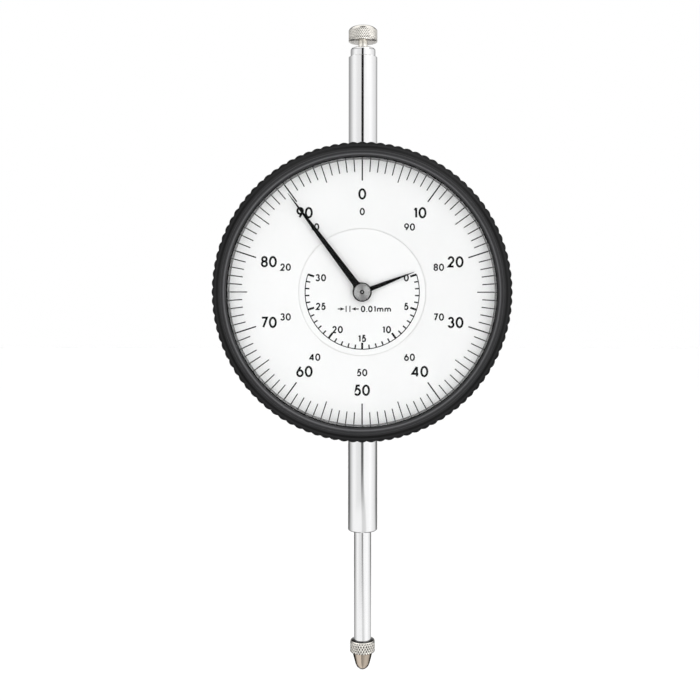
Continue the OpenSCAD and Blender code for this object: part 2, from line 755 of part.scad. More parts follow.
module spacer_ring() color(black) facing() rotate_extrude() polygon([
    [dial_rim_r, dial_front], [bezel_bore_r - fit, dial_front],
    [bezel_bore_r - fit, crystal_back], [dial_rim_r + spacer_slope, crystal_back]
]);

module dial_face() color(white) facing()
    ring(counter_dial_d / 2 + 0.06, bezel_bore_r - fit, dial_back, dial_front);

module snap_ring() color(steel) facing() ring(33.8, bezel_bore_r - fit, dial_back - 0.5, dial_back);

// ---- Assembly ----

case();
stem();
stem_bush();
upper_sleeve();
upper_bush();
sleeve_cap();
stop_buffer();
back_cover();
cover_gasket();
cover_screws();
bezel_wire();
bezel_seal();
main_plate();
main_plate_screws();
front_plate();
front_pillars();
front_plate_screws();
rear_bridge();
rear_pillars();
rear_bridge_screws();
bearing_jewels();
centre_tube();
counter_dial();
guide_rail();
guide_rail_screws();
spring_post();
return_spring();
hairspring_stud();
hairspring();
spindle();
stop_collar();
guide_pin();
lifting_rod();
lifting_knob();
contact_point();
contact_ball();
rack_pinion();
first_wheel();
counter_pinion();
centre_pinion();
pointer();
pointer_hub();
counter_pipe();
counter_wheel();
counter_hand();
takeup_arbor();
takeup_wheel();
hairspring_collet();
bezel();
crystal_gasket();
crystal();
spacer_ring();
dial_face();
snap_ring();
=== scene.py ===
"""Looks for the dial indicator: finishes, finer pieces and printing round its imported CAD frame."""
import json
import math

import bmesh
import bpy
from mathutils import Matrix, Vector


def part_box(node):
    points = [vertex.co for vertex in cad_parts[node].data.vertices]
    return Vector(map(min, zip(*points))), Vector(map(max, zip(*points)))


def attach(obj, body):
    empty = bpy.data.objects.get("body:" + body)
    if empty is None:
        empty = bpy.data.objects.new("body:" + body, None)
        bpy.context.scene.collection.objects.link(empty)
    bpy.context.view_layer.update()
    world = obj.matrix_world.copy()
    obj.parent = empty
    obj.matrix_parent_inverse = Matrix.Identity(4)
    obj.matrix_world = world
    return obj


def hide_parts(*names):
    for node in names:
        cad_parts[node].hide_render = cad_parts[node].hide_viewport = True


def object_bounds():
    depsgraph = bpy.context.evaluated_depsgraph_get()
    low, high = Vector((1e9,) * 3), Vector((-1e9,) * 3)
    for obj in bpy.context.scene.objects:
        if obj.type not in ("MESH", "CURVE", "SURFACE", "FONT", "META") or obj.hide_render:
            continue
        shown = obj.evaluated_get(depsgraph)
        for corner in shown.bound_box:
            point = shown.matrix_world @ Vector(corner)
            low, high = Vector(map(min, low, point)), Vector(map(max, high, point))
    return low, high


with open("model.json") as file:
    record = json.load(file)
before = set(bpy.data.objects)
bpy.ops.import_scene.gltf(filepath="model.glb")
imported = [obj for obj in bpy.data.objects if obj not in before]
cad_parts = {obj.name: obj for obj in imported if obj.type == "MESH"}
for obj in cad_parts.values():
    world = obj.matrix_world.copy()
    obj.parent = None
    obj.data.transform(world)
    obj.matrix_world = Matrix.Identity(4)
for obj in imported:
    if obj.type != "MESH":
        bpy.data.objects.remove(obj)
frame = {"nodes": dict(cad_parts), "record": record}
cad_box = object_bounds()

MM = 0.001
TURN = 2 * math.pi

# Between pieces that fit each other, and the slack in comparing two lengths, in millimetres.
FIT = 0.01
HAIR = 0.001


# ---- Places, in millimetres ----

def span(node):
    """A node's lowest and highest corner in millimetres."""
    low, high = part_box(node)
    return low / MM, high / MM


def front_of(node):
    """How far the node's front is in front of the spindle's axis."""
    return -span(node)[0].y


def back_of(node):
    """How far the node's back is in front of the spindle's axis."""
    return -span(node)[1].y


def radius_of(node):
    """Half the node's width."""
    low, high = span(node)
    return (high.x - low.x) / 2


dial_low, dial_high = span("dial_face")
DIAL_UP = (dial_low.z + dial_high.z) / 2
DIAL_R = (dial_high.z - dial_low.z) / 2


def on_dial(x, up, front):
    """x to the right and up from the dial's centre, front from the spindle's axis."""
    return (x, -front, DIAL_UP + up)


def on_spindle(x, y, up):
    """x and y from the spindle's axis, up from the frame's origin."""
    return (x, y, up)


def clock(r, degrees):
    """A point at that radius, with degrees clockwise from the top."""
    a = math.radians(degrees)
    return r * math.sin(a), r * math.cos(a)


# ---- Node materials ----

def noise(tree, scale, detail, stretch):
    """Noise in the object's own coordinates. stretch is how much finer it is along x, y and z."""
    nodes, links = tree.nodes, tree.links
    coords = nodes.new("ShaderNodeTexCoord")
    mapping = nodes.new("ShaderNodeMapping")
    mapping.inputs["Scale"].default_value = stretch
    texture = nodes.new("ShaderNodeTexNoise")
    texture.inputs["Scale"].default_value = scale
    texture.inputs["Detail"].default_value = detail
    links.new(coords.outputs["Object"], mapping.inputs["Vector"])
    links.new(mapping.outputs["Vector"], texture.inputs["Vector"])
    return texture.outputs["Fac"]


def dial_reach(tree):
    """The distance from the dial's axis."""
    nodes, links = tree.nodes, tree.links
    coords = nodes.new("ShaderNodeTexCoord")
    mapping = nodes.new("ShaderNodeMapping")
    mapping.inputs["Location"].default_value = (0, 0, -DIAL_UP * MM)
    mapping.inputs["Scale"].default_value = (1, 0, 1)
    reach = nodes.new("ShaderNodeVectorMath")
    reach.operation = "LENGTH"
    links.new(coords.outputs["Object"], mapping.inputs["Vector"])
    links.new(mapping.outputs["Vector"], reach.inputs[0])
    return reach.outputs["Value"]


def rings(tree, scale):
    """Noise that changes only with the distance from the dial's axis, like turning marks."""
    texture = tree.nodes.new("ShaderNodeTexNoise")
    texture.noise_dimensions = "1D"
    texture.inputs["Scale"].default_value = scale
    texture.inputs["Detail"].default_value = 3
    tree.links.new(dial_reach(tree), texture.inputs["W"])
    return texture.outputs["Fac"]


# How much finer the grain is along x, y and z.
ALL_WAYS = (1, 1, 1)
ALONG_TURNED = (0.03, 0.03, 1)
ALONG_DRAWN = (1, 1, 0.03)
ALONG_ROLLED = (1, 1, 0.05)

# The grain's depth at full strength, in millimetres.
BUMP_DEPTH = 0.02


def finish(name, dark, light, rough, rough_by, bump, metal=0.0, blotch=140, grain=3000,
           stretch=ALL_WAYS, turned=False, **own):
    """A surface whose colour drifts between dark and light, with a grain in bump and roughness."""
    material = bpy.data.materials.new(name)
    material.use_nodes = True
    tree = material.node_tree
    nodes, links = tree.nodes, tree.links
    surface = nodes["Principled BSDF"]
    surface.inputs["Metallic"].default_value = metal
    for socket, value in own.items():
        surface.inputs[socket.replace("_", " ")].default_value = value

    drift = nodes.new("ShaderNodeMix")
    drift.data_type = "RGBA"
    drift.inputs[6].default_value = (*dark, 1)
    drift.inputs[7].default_value = (*light, 1)
    links.new(noise(tree, blotch, 3, ALL_WAYS), drift.inputs[0])
    links.new(drift.outputs[2], surface.inputs["Base Color"])

    marks = rings(tree, grain) if turned else noise(tree, grain, 4, stretch)
    spread = nodes.new("ShaderNodeMapRange")
    spread.inputs["From Min"].default_value = 0.3
    spread.inputs["From Max"].default_value = 0.7
    spread.inputs["To Min"].default_value = rough - rough_by
    spread.inputs["To Max"].default_value = rough + rough_by
    links.new(marks, spread.inputs["Value"])
    links.new(spread.outputs["Result"], surface.inputs["Roughness"])

    relief = nodes.new("ShaderNodeBump")
    relief.inputs["Strength"].default_value = bump
    relief.inputs["Distance"].default_value = BUMP_DEPTH * MM
    links.new(marks, relief.inputs["Height"])
    links.new(relief.outputs["Normal"], surface.inputs["Normal"])
    return material


FINISHES = {
    "case_paint": finish("case_paint", (0.018, 0.018, 0.019), (0.024, 0.024, 0.025),
                         0.42, 0.06, 0.35, grain=5200),
    "bezel_plastic": finish("bezel_plastic", (0.90, 0.90, 0.94), (1.0, 1.0, 1.04),
                            0.42, 0.06, 0.25, grain=6500, Specular_IOR_Level=0.10),
    "ground_steel": finish("ground_steel", (0.79, 0.79, 0.80), (0.84, 0.84, 0.84),
                           0.09, 0.03, 0.05, metal=1, grain=9000, stretch=ALONG_TURNED),
    "steel": finish("steel", (0.56, 0.57, 0.58), (0.63, 0.64, 0.65),
                    0.30, 0.07, 0.15, metal=1, grain=6000),
    "nickel": finish("nickel", (0.90, 0.87, 0.81), (0.95, 0.92, 0.86),
                     0.26, 0.06, 0.15, metal=1, grain=7000),
    "aluminium": finish("aluminium", (0.60, 0.61, 0.62), (0.68, 0.69, 0.70),
                        0.34, 0.07, 0.20, metal=1, grain=9000, turned=True),
    "brass": finish("brass", (0.72, 0.55, 0.27), (0.80, 0.64, 0.35),
                    0.27, 0.07, 0.15, metal=1, grain=8000, stretch=ALONG_ROLLED),
    "bronze": finish("bronze", (0.55, 0.37, 0.21), (0.65, 0.46, 0.28),
                     0.38, 0.08, 0.30, metal=1, grain=9000),
    "rubber": finish("rubber", (0.020, 0.020, 0.020), (0.030, 0.030, 0.030),
                     0.72, 0.08, 0.50, grain=7000),
    "ruby": finish("ruby", (0.42, 0.02, 0.06), (0.60, 0.04, 0.10),
                   0.10, 0.03, 0.05, grain=5000, Transmission_Weight=0.4, IOR=1.76),
    "crystal": finish("crystal", (0.985, 0.99, 0.99), (1.0, 1.0, 1.0),
                      0.012, 0.008, 0.0, grain=800, Transmission_Weight=1.0, IOR=1.15),
    "dial_enamel": finish("dial_enamel", (0.88, 0.88, 0.878), (0.895, 0.895, 0.893),
                          0.42, 0.05, 0.10, grain=9000),
    "hand_black": finish("hand_black", (0.002, 0.002, 0.002), (0.004, 0.004, 0.004),
                         0.38, 0.05, 0.15, grain=7000, Specular_IOR_Level=0.05),
    "spring_steel": finish("spring_steel", (0.48, 0.49, 0.52), (0.56, 0.57, 0.60),
                           0.22, 0.05, 0.10, metal=1, grain=9000, stretch=ALONG_DRAWN),
    "hub_metal": finish("hub_metal", (0.20, 0.20, 0.20), (0.27, 0.27, 0.27),
                        0.14, 0.04, 0.10, metal=1, grain=14000, turned=True),
}
# A black raised to dark grey as painted light, lifting the shade under the bezel's lip.
PAINTED_LIGHT_BLACK = finish("painted_light_black", (0.085, 0.085, 0.087), (0.100, 0.100, 0.102),
                     0.16, 0.03, 0.06, grain=4000)
# Darker nickel for the knurls' pits: painted shade where the grooves cross.
PAINTED_PIT_SHADE = finish("painted_pit_shade", (0.05, 0.045, 0.04), (0.10, 0.09, 0.08),
                    0.40, 0.06, 0.20, metal=1, grain=7000)
# Smoother nickel for the knob's crown, made darker as a painted dark reflection.
CROWN_PAINTED_REFLECTION = finish("crown_painted_reflection", (0.62, 0.60, 0.55), (0.74, 0.71, 0.66),
                      0.14, 0.06, 0.20, metal=1, grain=7000)
ARBOR_STEEL = finish("arbor_steel", (0.92, 0.92, 0.95), (1.0, 1.0, 1.0),
                     0.30, 0.06, 0.10, metal=1, grain=6000)
INK = finish("ink", (0.003, 0.003, 0.003), (0.006, 0.006, 0.006),
             0.45, 0.05, 0.20, grain=9000, Specular_IOR_Level=0.1)
GREY_INK = finish("grey_ink", (0.006, 0.006, 0.006), (0.010, 0.010, 0.010),
                  0.50, 0.05, 0.20, grain=9000, Specular_IOR_Level=0.1)
NOSE = finish("nose", (0.35, 0.295, 0.245), (0.46, 0.39, 0.32),
              0.14, 0.03, 0.06, metal=1, grain=9000, stretch=ALONG_TURNED)
# Near-black metal, painted on as shade and as a dark reflection.
PAINTED_DARK_METAL = finish("painted_dark_metal", (0.020, 0.019, 0.018), (0.035, 0.033, 0.030),
                     0.30, 0.06, 0.15, metal=1, grain=7000)


def shade_by_radius(material, rows):
    """Multiplies the colour by a level that changes with the distance from the dial's axis, in
    rows of (millimetres, level)."""
    tree = material.node_tree
    nodes, links = tree.nodes, tree.links
    colour = nodes["Principled BSDF"].inputs["Base Color"]
    first, last = rows[0][0], rows[-1][0]
    share = nodes.new("ShaderNodeMapRange")
    share.inputs["From Min"].default_value = first * MM
    share.inputs["From Max"].default_value = last * MM
    ramp = nodes.new("ShaderNodeValToRGB")
    stops = ramp.color_ramp.elements
    for i, (r, level) in enumerate(rows):
        at = (r - first) / (last - first)
        stop = stops[0] if i == 0 else stops[-1] if i == len(rows) - 1 else stops.new(at)
        stop.color = (level, level, level, 1)
    shaded = nodes.new("ShaderNodeMix")
    shaded.data_type = "RGBA"
    shaded.blend_type = "MULTIPLY"
    shaded.inputs[0].default_value = 1
    links.new(colour.links[0].from_socket, shaded.inputs[6])
    links.new(dial_reach(tree), share.inputs["Value"])
    links.new(share.outputs["Result"], ramp.inputs["Fac"])
    links.new(ramp.outputs["Color"], shaded.inputs[7])
    links.new(shaded.outputs[2], colour)


# The bezel's light and dark rings from its lip outward. The levels were tuned until each
# ring was as bright as in the photo, so they hold some of its light and shade, and aren't wear.
shade_by_radius(FINISHES["bezel_plastic"], [
    (34.6, 0.036), (35.25, 0.028), (35.45, 0.070), (35.62, 0.110), (35.85, 0.034), (36.2, 0.024),
    (36.45, 0.042), (36.75, 0.030), (37.0, 0.018), (37.3, 0.003), (37.7, 0.004), (38.0, 0.018),
    (38.4, 0.008), (39.0, 0.010)
])
# The arbor's end is painted near-black in a ring round its bright pip, as painted shade inside the
# hub's bore.
shade_by_radius(ARBOR_STEEL, [(0, 0.65), (0.14, 0.65), (0.17, 0.02), (0.55, 0.02), (0.6, 0.5)])

for row in frame["record"]["subparts"]:
    node = frame["nodes"][row["node"]]
    node.data.materials.clear()
    node.data.materials.append(FINISHES[row["material_slot"]])
# The spacer ring's wall takes the black raised to dark grey: painted light in the shade under the
# lip.
frame["nodes"]["spacer_ring"].data.materials[0] = PAINTED_LIGHT_BLACK
frame["nodes"]["centre_pinion"].data.materials[0] = ARBOR_STEEL
frame["nodes"]["lifting_rod"].data.materials[0] = FINISHES["nickel"]


# ---- Pieces ----

SHARP_ANGLE = 35
KNURL_SHARP_ANGLE = 50
GROOVE_SHARP_ANGLE = 8


def make(name, verts, faces, body, material, stands_for=(), sharp=SHARP_ANGLE):
    """A closed mesh from points in millimetres, riding on its body."""
    mesh = bpy.data.meshes.new(name)
    mesh.from_pydata([Vector(v) * MM for v in verts], [], faces)
    skin = bmesh.new()
    skin.from_mesh(mesh)
    bmesh.ops.recalc_face_normals(skin, faces=skin.faces)
    skin.to_mesh(mesh)
    skin.free()
    mesh.shade_smooth()
    mesh.set_sharp_from_angle(angle=math.radians(sharp))
    mesh.materials.append(material)
    piece = bpy.data.objects.new(name, mesh)
    bpy.context.scene.collection.objects.link(piece)
    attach(piece, body)
    if stands_for:
        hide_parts(*stands_for)
    return piece


def add_finish(piece, material):
    """Gives a piece one more material, and returns the number for its faces."""
    piece.data.materials.append(material)
    return len(piece.data.materials) - 1


def revolve(profile, count, place, swell=None):
    """Turns a profile of (radius, level) round an axis. A profile that starts and ends on the
    axis is capped there, and any other is a closed loop. swell(radius, level, angle) gives the
    radius that a point takes instead."""
    verts, faces, rows = [], [], []
    for r, level in profile:
        start = len(verts)
        if r == 0:
            verts.append(place(0, 0, level))
            rows.append([start] * count)
            continue
        for i in range(count):
            a = TURN * i / count
            out = swell(r, level, a) if swell else r
            verts.append(place(out * math.cos(a), out * math.sin(a), level))
        rows.append([start + i for i in range(count)])
    pairs = list(zip(rows, rows[1:]))
    if profile[0][0] != 0:
        pairs.append((rows[-1], rows[0]))
    for low, high in pairs:
        for i in range(count):
            j = (i + 1) % count
            corners = dict.fromkeys((low[i], low[j], high[j], high[i]))
            faces.append(list(corners))
    return verts, faces


def rounded(profile, steps=4):
    """Each point (radius, level, rounding) with a rounding becomes a small arc."""
    out = []
    count = len(profile)
    for i, (r, level, size) in enumerate(profile):
        here = Vector((r, level))
        if not size:
            out.append((r, level))
            continue
        before = Vector(profile[i - 1][:2]) - here
        after = Vector(profile[(i + 1) % count][:2]) - here
        start = here + before.normalized() * size
        end = here + after.normalized() * size
        for k in range(steps + 1):
            t = k / steps
            point = start * (1 - t) ** 2 + here * 2 * t * (1 - t) + end * t ** 2
            out.append((point.x, point.y))
    return out


# ---- Bezel: a ring with round lobes that meet in sharp valleys ----

LOBES = 100
LOBE_STEPS = 12
LOBE_DEPTH = 0.35
GRIP_STEP = 0.6
GRIP_R = radius_of("bezel")
BODY_R = GRIP_R - GRIP_STEP
BEZEL_BACK = back_of("bezel")
BEZEL_FRONT = front_of("bezel")
BORE_R = DIAL_R + 1.5 * FIT
WIRE_LEVEL = (back_of("bezel_wire") + front_of("bezel_wire")) / 2
GROOVE_HALF = 0.45
GROOVE_DEPTH = 0.4
LIP_BACK = front_of("crystal_gasket")
LIP_R = 35.0
GRIP_LOW = BEZEL_BACK + 0.3
GRIP_HIGH = BEZEL_BACK + 6.3
GRIP_CROWN = 0.4
CROWN_SHARES = [0, 0.1, 0.3, 0.6, 1]

# The face from its shoulder to its lip: radius, distance behind the front, and rounding.
BEZEL_FACE = [
    (36.9, 0.6, 0.07), (36.62, 0.62, 0.08), (36.4, 0.1, 0.1), (36.1, 0, 0.12),
    (35.8, 0, 0.12), (35.5, 0.2, 0.12), (LIP_R, 0.5, 0.08)
]


def grip(r, level, angle):
    """The lobes swell between the grip's ends and run out over its crowned edges."""
    if r < BODY_R - HAIR or not GRIP_LOW <= level <= GRIP_HIGH:
        return r
    inside = min(level - GRIP_LOW, GRIP_HIGH - level) / GRIP_CROWN
    share = math.sqrt(1 - (1 - min(inside, 1)) ** 2)
    lobe = GRIP_STEP - LOBE_DEPTH * (1 - abs(math.cos(angle * LOBES / 2)))
    return BODY_R + share * lobe


def make_bezel():
    levels = [GRIP_LOW + GRIP_CROWN * c for c in CROWN_SHARES]
    levels += [GRIP_HIGH - GRIP_CROWN * c for c in reversed(CROWN_SHARES)]
    outside = [(BODY_R - 0.3, BEZEL_BACK, 0)]
    outside += [(BODY_R, level, 0) for level in levels]
    outside += [(BODY_R - 0.6, GRIP_HIGH + 0.3, 0.12)]
    front = [(r, BEZEL_FRONT - behind, size) for r, behind, size in BEZEL_FACE]
    inside = [
        (LIP_R, LIP_BACK, 0), (BORE_R, LIP_BACK, 0),
        (BORE_R, WIRE_LEVEL + GROOVE_HALF, 0),
        (BORE_R + GROOVE_DEPTH, WIRE_LEVEL + GROOVE_HALF, 0),
        (BORE_R + GROOVE_DEPTH, WIRE_LEVEL - GROOVE_HALF, 0),
        (BORE_R, WIRE_LEVEL - GROOVE_HALF, 0),
        (BORE_R, BEZEL_BACK, 0)
    ]
    profile = rounded(outside + front + inside)
    verts, faces = revolve(profile, LOBES * LOBE_STEPS, on_dial, grip)
    make("bezel_ring", verts, faces, "bezel_unit",
         FINISHES["bezel_plastic"], ["bezel"])


make_bezel()


# ---- Knurled pieces on the plunger ----

# Mesh steps to a groove, and the share of a pitch over which the grooves run out at the ends.
KNURL_STEPS = 8
RUN_OUT = 0.25

COLLAR_HEIGHT = 3.2
THREAD_R = 1.25
SOCKET_LIP_R = 0.9
SOCKET_STEPS = 10

# The nose's outline, outward from the ball's surface and up from its middle.
NOSE_ROWS = [
    (-0.18, -0.9), (-0.02, -0.65), (0.12, -0.38), (0.26, -0.1), (0.36, 0.17), (0.65, 1.26),
    (0.94, 2.36)
]
NOSE_TOP = 1.19


def groove_shares(around, rise, angle):
    """How near a spot is to the bottom of each of the two crossed sets of grooves, 0 to 1."""
    turn = around * angle / TURN
    return [abs((turn + side * rise) % 1 - 0.5) * 2 for side in (-1, 1)]


def knurl(around, pitch, low, high, depth, full_r):
    """Crossed grooves that leave small pyramids on a cylinder between two levels."""
    def cut(r, level, angle):
        if r < full_r - HAIR or not low <= level <= high:
            return r
        shares = groove_shares(around, (level - low) / pitch, angle)
        edge = min(level - low, high - level) / (RUN_OUT * pitch)
        return r - depth * max(shares) ** 1.5 * min(edge, 1)
    return cut


def knurled_profile(points, r, low, high, pitch):
    """Puts the knurled wall, cut into fine levels, in the place of the profile's None."""
    count = round((high - low) / pitch * KNURL_STEPS)
    wall = [(r, low + (high - low) * i / count) for i in range(count + 1)]
    start = points.index(None)
    return points[:start] + wall + points[start + 1:]


def darken_pits(piece, around, pitch, low, high, inside, share):
    """Gives darker metal to the pits of a knurl, where its grooves cross, as painted shade."""
    pit = add_finish(piece, PAINTED_PIT_SHADE)
    for face in piece.data.polygons:
        r = math.hypot(face.center.x, face.center.y) / MM
        level = face.center.z / MM
        angle = math.atan2(face.center.y, face.center.x)
        shares = groove_shares(around, (level - low) / pitch, angle)
        if low < level < high and r > inside and min(shares) > share:
            face.material_index = pit


def make_knob():
    low, high = span("lifting_knob")
    r = radius_of("lifting_knob")
    rod_r = radius_of("lifting_rod") + FIT
    rod_top = span("lifting_rod")[1].z + FIT
    bottom, top = low.z, high.z
    around, pitch, depth = 45, 0.85, 0.13
    wall_low, wall_high = bottom + 0.08, top - 1.2
    points = [
        (0, rod_top), (rod_r, rod_top), (rod_r, bottom), (r - 0.14, bottom),
        (r - 0.1, bottom + 0.04), None,
        (r - 0.11, top - 1.02), (r - 0.24, top - 0.85), (r - 0.42, top - 0.67),
        (r - 0.65, top - 0.48), (r - 0.95, top - 0.3), (r - 1.35, top - 0.15),
        (r - 1.75, top - 0.05), (r - 2.6, top), (0, top)
    ]
    profile = knurled_profile(points, r, wall_low, wall_high, pitch)
    cut = knurl(around, pitch, wall_low, wall_high, depth, r)
    verts, faces = revolve(profile, around * KNURL_STEPS, on_spindle, cut)
    piece = make("knurled_knob", verts, faces, "plunger", FINISHES["nickel"],
                 ["lifting_knob"], sharp=KNURL_SHARP_ANGLE)
    darken_pits(piece, around, pitch, wall_low, wall_high, r - 0.5, 0.47)
    # The crown above the knurl takes the darker nickel: a painted dark reflection.
    crown = add_finish(piece, CROWN_PAINTED_REFLECTION)
    for face in piece.data.polygons:
        if face.center.z > wall_high * MM:
            face.material_index = crown


def make_contact_point():
    ball_low, ball_high = span("contact_ball")
    ball_r = (ball_high.z - ball_low.z) / 2
    ball_up = (ball_high.z + ball_low.z) / 2
    socket_r = ball_r + FIT
    r = radius_of("contact_point")
    thread_top = span("contact_point")[1].z
    top = span("spindle")[0].z
    bottom = top - COLLAR_HEIGHT
    around, pitch, depth = 28, 1.28, 0.2
    wall_low, wall_high = bottom + 0.25, top - 0.15
    lip_angle = -math.degrees(math.asin(SOCKET_LIP_R / socket_r))
    socket = []
    for k in range(SOCKET_STEPS + 1):
        a = math.radians(90 + (lip_angle - 90) * k / SOCKET_STEPS)
        socket.append((socket_r * math.cos(a), ball_up + socket_r * math.sin(a)))
    socket[0] = (0, socket[0][1])
    nose = [(ball_r + out, ball_up + up) for out, up in NOSE_ROWS]
    points = socket + nose + [
        (ball_r + NOSE_TOP, bottom), (r - 0.3, bottom), (r - 0.1, bottom + 0.12), None,
        (r - 0.1, top - 0.12), (r - 0.25, top), (THREAD_R, top), (THREAD_R, thread_top),
        (0, thread_top)
    ]
    profile = knurled_profile(points, r, wall_low, wall_high, pitch)
    cut = knurl(around, pitch, wall_low, wall_high, depth, r)
    verts, faces = revolve(profile, around * KNURL_STEPS, on_spindle, cut)
    piece = make("knurled_contact_point", verts, faces, "plunger",
                 FINISHES["nickel"], ["contact_point"], sharp=KNURL_SHARP_ANGLE)
    nose_metal = add_finish(piece, NOSE)
    # The collar's upward face is painted near-black: a painted dark reflection.
    painted_dark_top = add_finish(piece, PAINTED_DARK_METAL)
    for face in piece.data.polygons:
        if face.center.z < (bottom + FIT) * MM:
            face.material_index = nose_metal
        elif face.normal.z > 0.9 and face.center.z > (top - FIT) * MM:
            face.material_index = painted_dark_top
    darken_pits(piece, around, pitch, wall_low, wall_high, r - 0.5, 0.41)


make_knob()
make_contact_point()


# ---- Stem and outer dial ----

STEM_EDGE = 0.22
STEM_STEPS = 128
SPIGOT_R = 3.6
CASE_REACH = 38.5


def make_stem():
    """The clamping stem, with a finely broken lower edge."""
    low, high = span("stem")
    r = radius_of("stem")
    bore_r = radius_of("stem_bush") + FIT
    case_face = DIAL_UP - CASE_REACH
    profile = [
        (bore_r, low.z, 0), (r - STEM_EDGE, low.z, 0), (r, low.z + STEM_EDGE, 0.05),
        (r, case_face, 0), (SPIGOT_R, case_face, 0), (SPIGOT_R, high.z, 0), (bore_r, high.z, 0)
    ]
    verts, faces = revolve(rounded(profile, 3), STEM_STEPS, on_spindle)
    make("stem_tube", verts, faces, "housing", FINISHES["ground_steel"],
         ["stem"])


DIAL_STEPS = 192
COUNTER_STEP_WIDTH = 1.1
DIAL_GAP = 0.06


def make_outer_dial():
    """The dial that turns with the bezel, with a softly pressed inner edge."""
    front, back = front_of("dial_face"), back_of("dial_face")
    inner_r = radius_of("counter_dial") - COUNTER_STEP_WIDTH + DIAL_GAP
    profile = [
        (inner_r, back), (inner_r, back + 0.26), (inner_r + 0.1, back + 0.34),
        (inner_r + 0.45, front), (DIAL_R, front), (DIAL_R, back)
    ]
    verts, faces = revolve(profile, DIAL_STEPS, on_dial)
    make("outer_dial", verts, faces, "bezel_unit", FINISHES["dial_enamel"],
         ["dial_face"])


make_stem()
make_outer_dial()


# ---- Hands and hub ----

HAND_EDGE = 0.04
FILLET_STEPS = 8
BOSS_STEPS = 72


def make_hand(name, node, body, degrees, boss_r, bore_r, root, blade, fillet):
    """A flat hand: a boss, a fillet and a blade. root is the blade's half-width at the boss, and
    blade gives the rest of it in rows of (distance, half-width)."""
    back, front = back_of(node), front_of(node)
    a = math.radians(degrees)
    across = Vector((math.cos(a), -math.sin(a)))
    along = Vector((math.sin(a), math.cos(a)))

    def outline(inset):
        corner = root + fillet
        height = math.sqrt((boss_r + fillet) ** 2 - corner ** 2)
        left = math.atan2(height, corner)
        side = []
        for k in range(FILLET_STEPS + 1):
            turn = math.pi + left * (1 - k / FILLET_STEPS)
            side.append((corner + (fillet + inset) * math.cos(turn),
                         height + (fillet + inset) * math.sin(turn)))
        side += [(half - min(inset, half / 2), far) for far, half in blade]
        boss = []
        start, stop = left, math.pi - left - TURN
        for k in range(1, BOSS_STEPS):
            t = start + (stop - start) * k / BOSS_STEPS
            boss.append(((boss_r - inset) * math.cos(t), (boss_r - inset) * math.sin(t)))
        mirrored = [(-x, y) for x, y in reversed(side)]
        return side + mirrored + boss[::-1]

    def inner():
        return [tuple(Vector(p).normalized() * bore_r) for p in outline(0)]

    layers = [(inner(), back), (outline(0), back), (outline(0), front - HAND_EDGE),
              (outline(HAND_EDGE), front), (inner(), front)]
    verts, faces = [], []
    count = len(layers[0][0])
    for points, level in layers:
        for x, y in points:
            spot = across * x + along * y
            verts.append(on_dial(spot.x, spot.y, level))
    for n in range(len(layers)):
        low, high = n * count, (n + 1) % len(layers) * count
        for i in range(count):
            j = (i + 1) % count
            faces.append([low + i, low + j, high + j, high + i])
    make(name, verts, faces, body, FINISHES["hand_black"], [node])


def hand_direction(node):
    """Where the hand points at rest, in degrees clockwise from the top."""
    far = max(frame["nodes"][node].data.vertices,
              key=lambda v: v.co.x ** 2 + (v.co.z - DIAL_UP * MM) ** 2)
    return math.degrees(math.atan2(far.co.x, far.co.z - DIAL_UP * MM))


def hand_length(node):
    """From the dial's centre to the hand's tip."""
    return max(math.hypot(v.co.x, v.co.z - DIAL_UP * MM)
               for v in frame["nodes"][node].data.vertices) / MM


TUBE_R = 1.1
HUB_STEPS = 96
HUB_BORE = TUBE_R + FIT
PIPE_BORE = 1.71
TIP_HALF = 0.05
pointer_length = hand_length("pointer")
make_hand("pointer_blade", "pointer", "main_hand", hand_direction("pointer"),
          boss_r=2.5, bore_r=HUB_BORE, root=0.86, fillet=1.2,
          blade=[(18.2, 0.585), (pointer_length - 3, 0.17), (pointer_length, TIP_HALF)])
counter_length = hand_length("counter_hand")
make_hand("counter_blade", "counter_hand", "turn_counter", hand_direction("counter_hand"),
          boss_r=2.3, bore_r=PIPE_BORE, root=0.58, fillet=0.6,
          blade=[(6.5, 0.5), (10.4, 0.3), (counter_length, TIP_HALF)])


def make_hub():
    """The turned cap on the pointer, with its tube down to the arbor."""
    cap_back = front_of("pointer")
    cap_front = front_of("pointer_hub")
    tube_back = back_of("pointer_hub")
    bore_r, edge_r, cap_r = 0.51, 0.6, 2.2
    profile = [
        (bore_r, tube_back, 0), (TUBE_R, tube_back, 0), (TUBE_R, cap_back, 0),
        (cap_r, cap_back, 0), (cap_r, cap_front - 0.1, 0.06), (cap_r - 0.12, cap_front, 0.05)
    ]
    grooves, groove_share, first_r = 5, 0.14, cap_r - 0.2
    pitch = (first_r - edge_r) / grooves
    for n in range(grooves):
        crest_r = first_r - n * pitch
        bottom = cap_front - groove_share * pitch
        profile += [(crest_r, cap_front, 0), (crest_r - pitch / 2, bottom, 0)]
    profile += [(edge_r, cap_front, 0.02), (bore_r, cap_front - 0.1, 0)]
    verts, faces = revolve(rounded(profile, 2), HUB_STEPS, on_dial)
    piece = make("hub_cap", verts, faces, "main_hand", FINISHES["hub_metal"],
                 ["pointer_hub"], sharp=GROOVE_SHARP_ANGLE)
    # The cap's bore and its edge are painted near-black: painted shade in the hole round the arbor.
    painted_bore_shade = add_finish(piece, PAINTED_DARK_METAL)
    for face in piece.data.polygons:
        if math.hypot(face.center.x, face.center.z - DIAL_UP * MM) < (edge_r + FIT) * MM:
            face.material_index = painted_bore_shade


make_hub()


# ---- Printing, modelled as thin raised ink ----

INK_HEIGHT = 0.02
INK_ROOT = 0.01
STROKE_STEP = 0.0006
STROKE_LIFTS = 5
ROUND_STEPS = 24


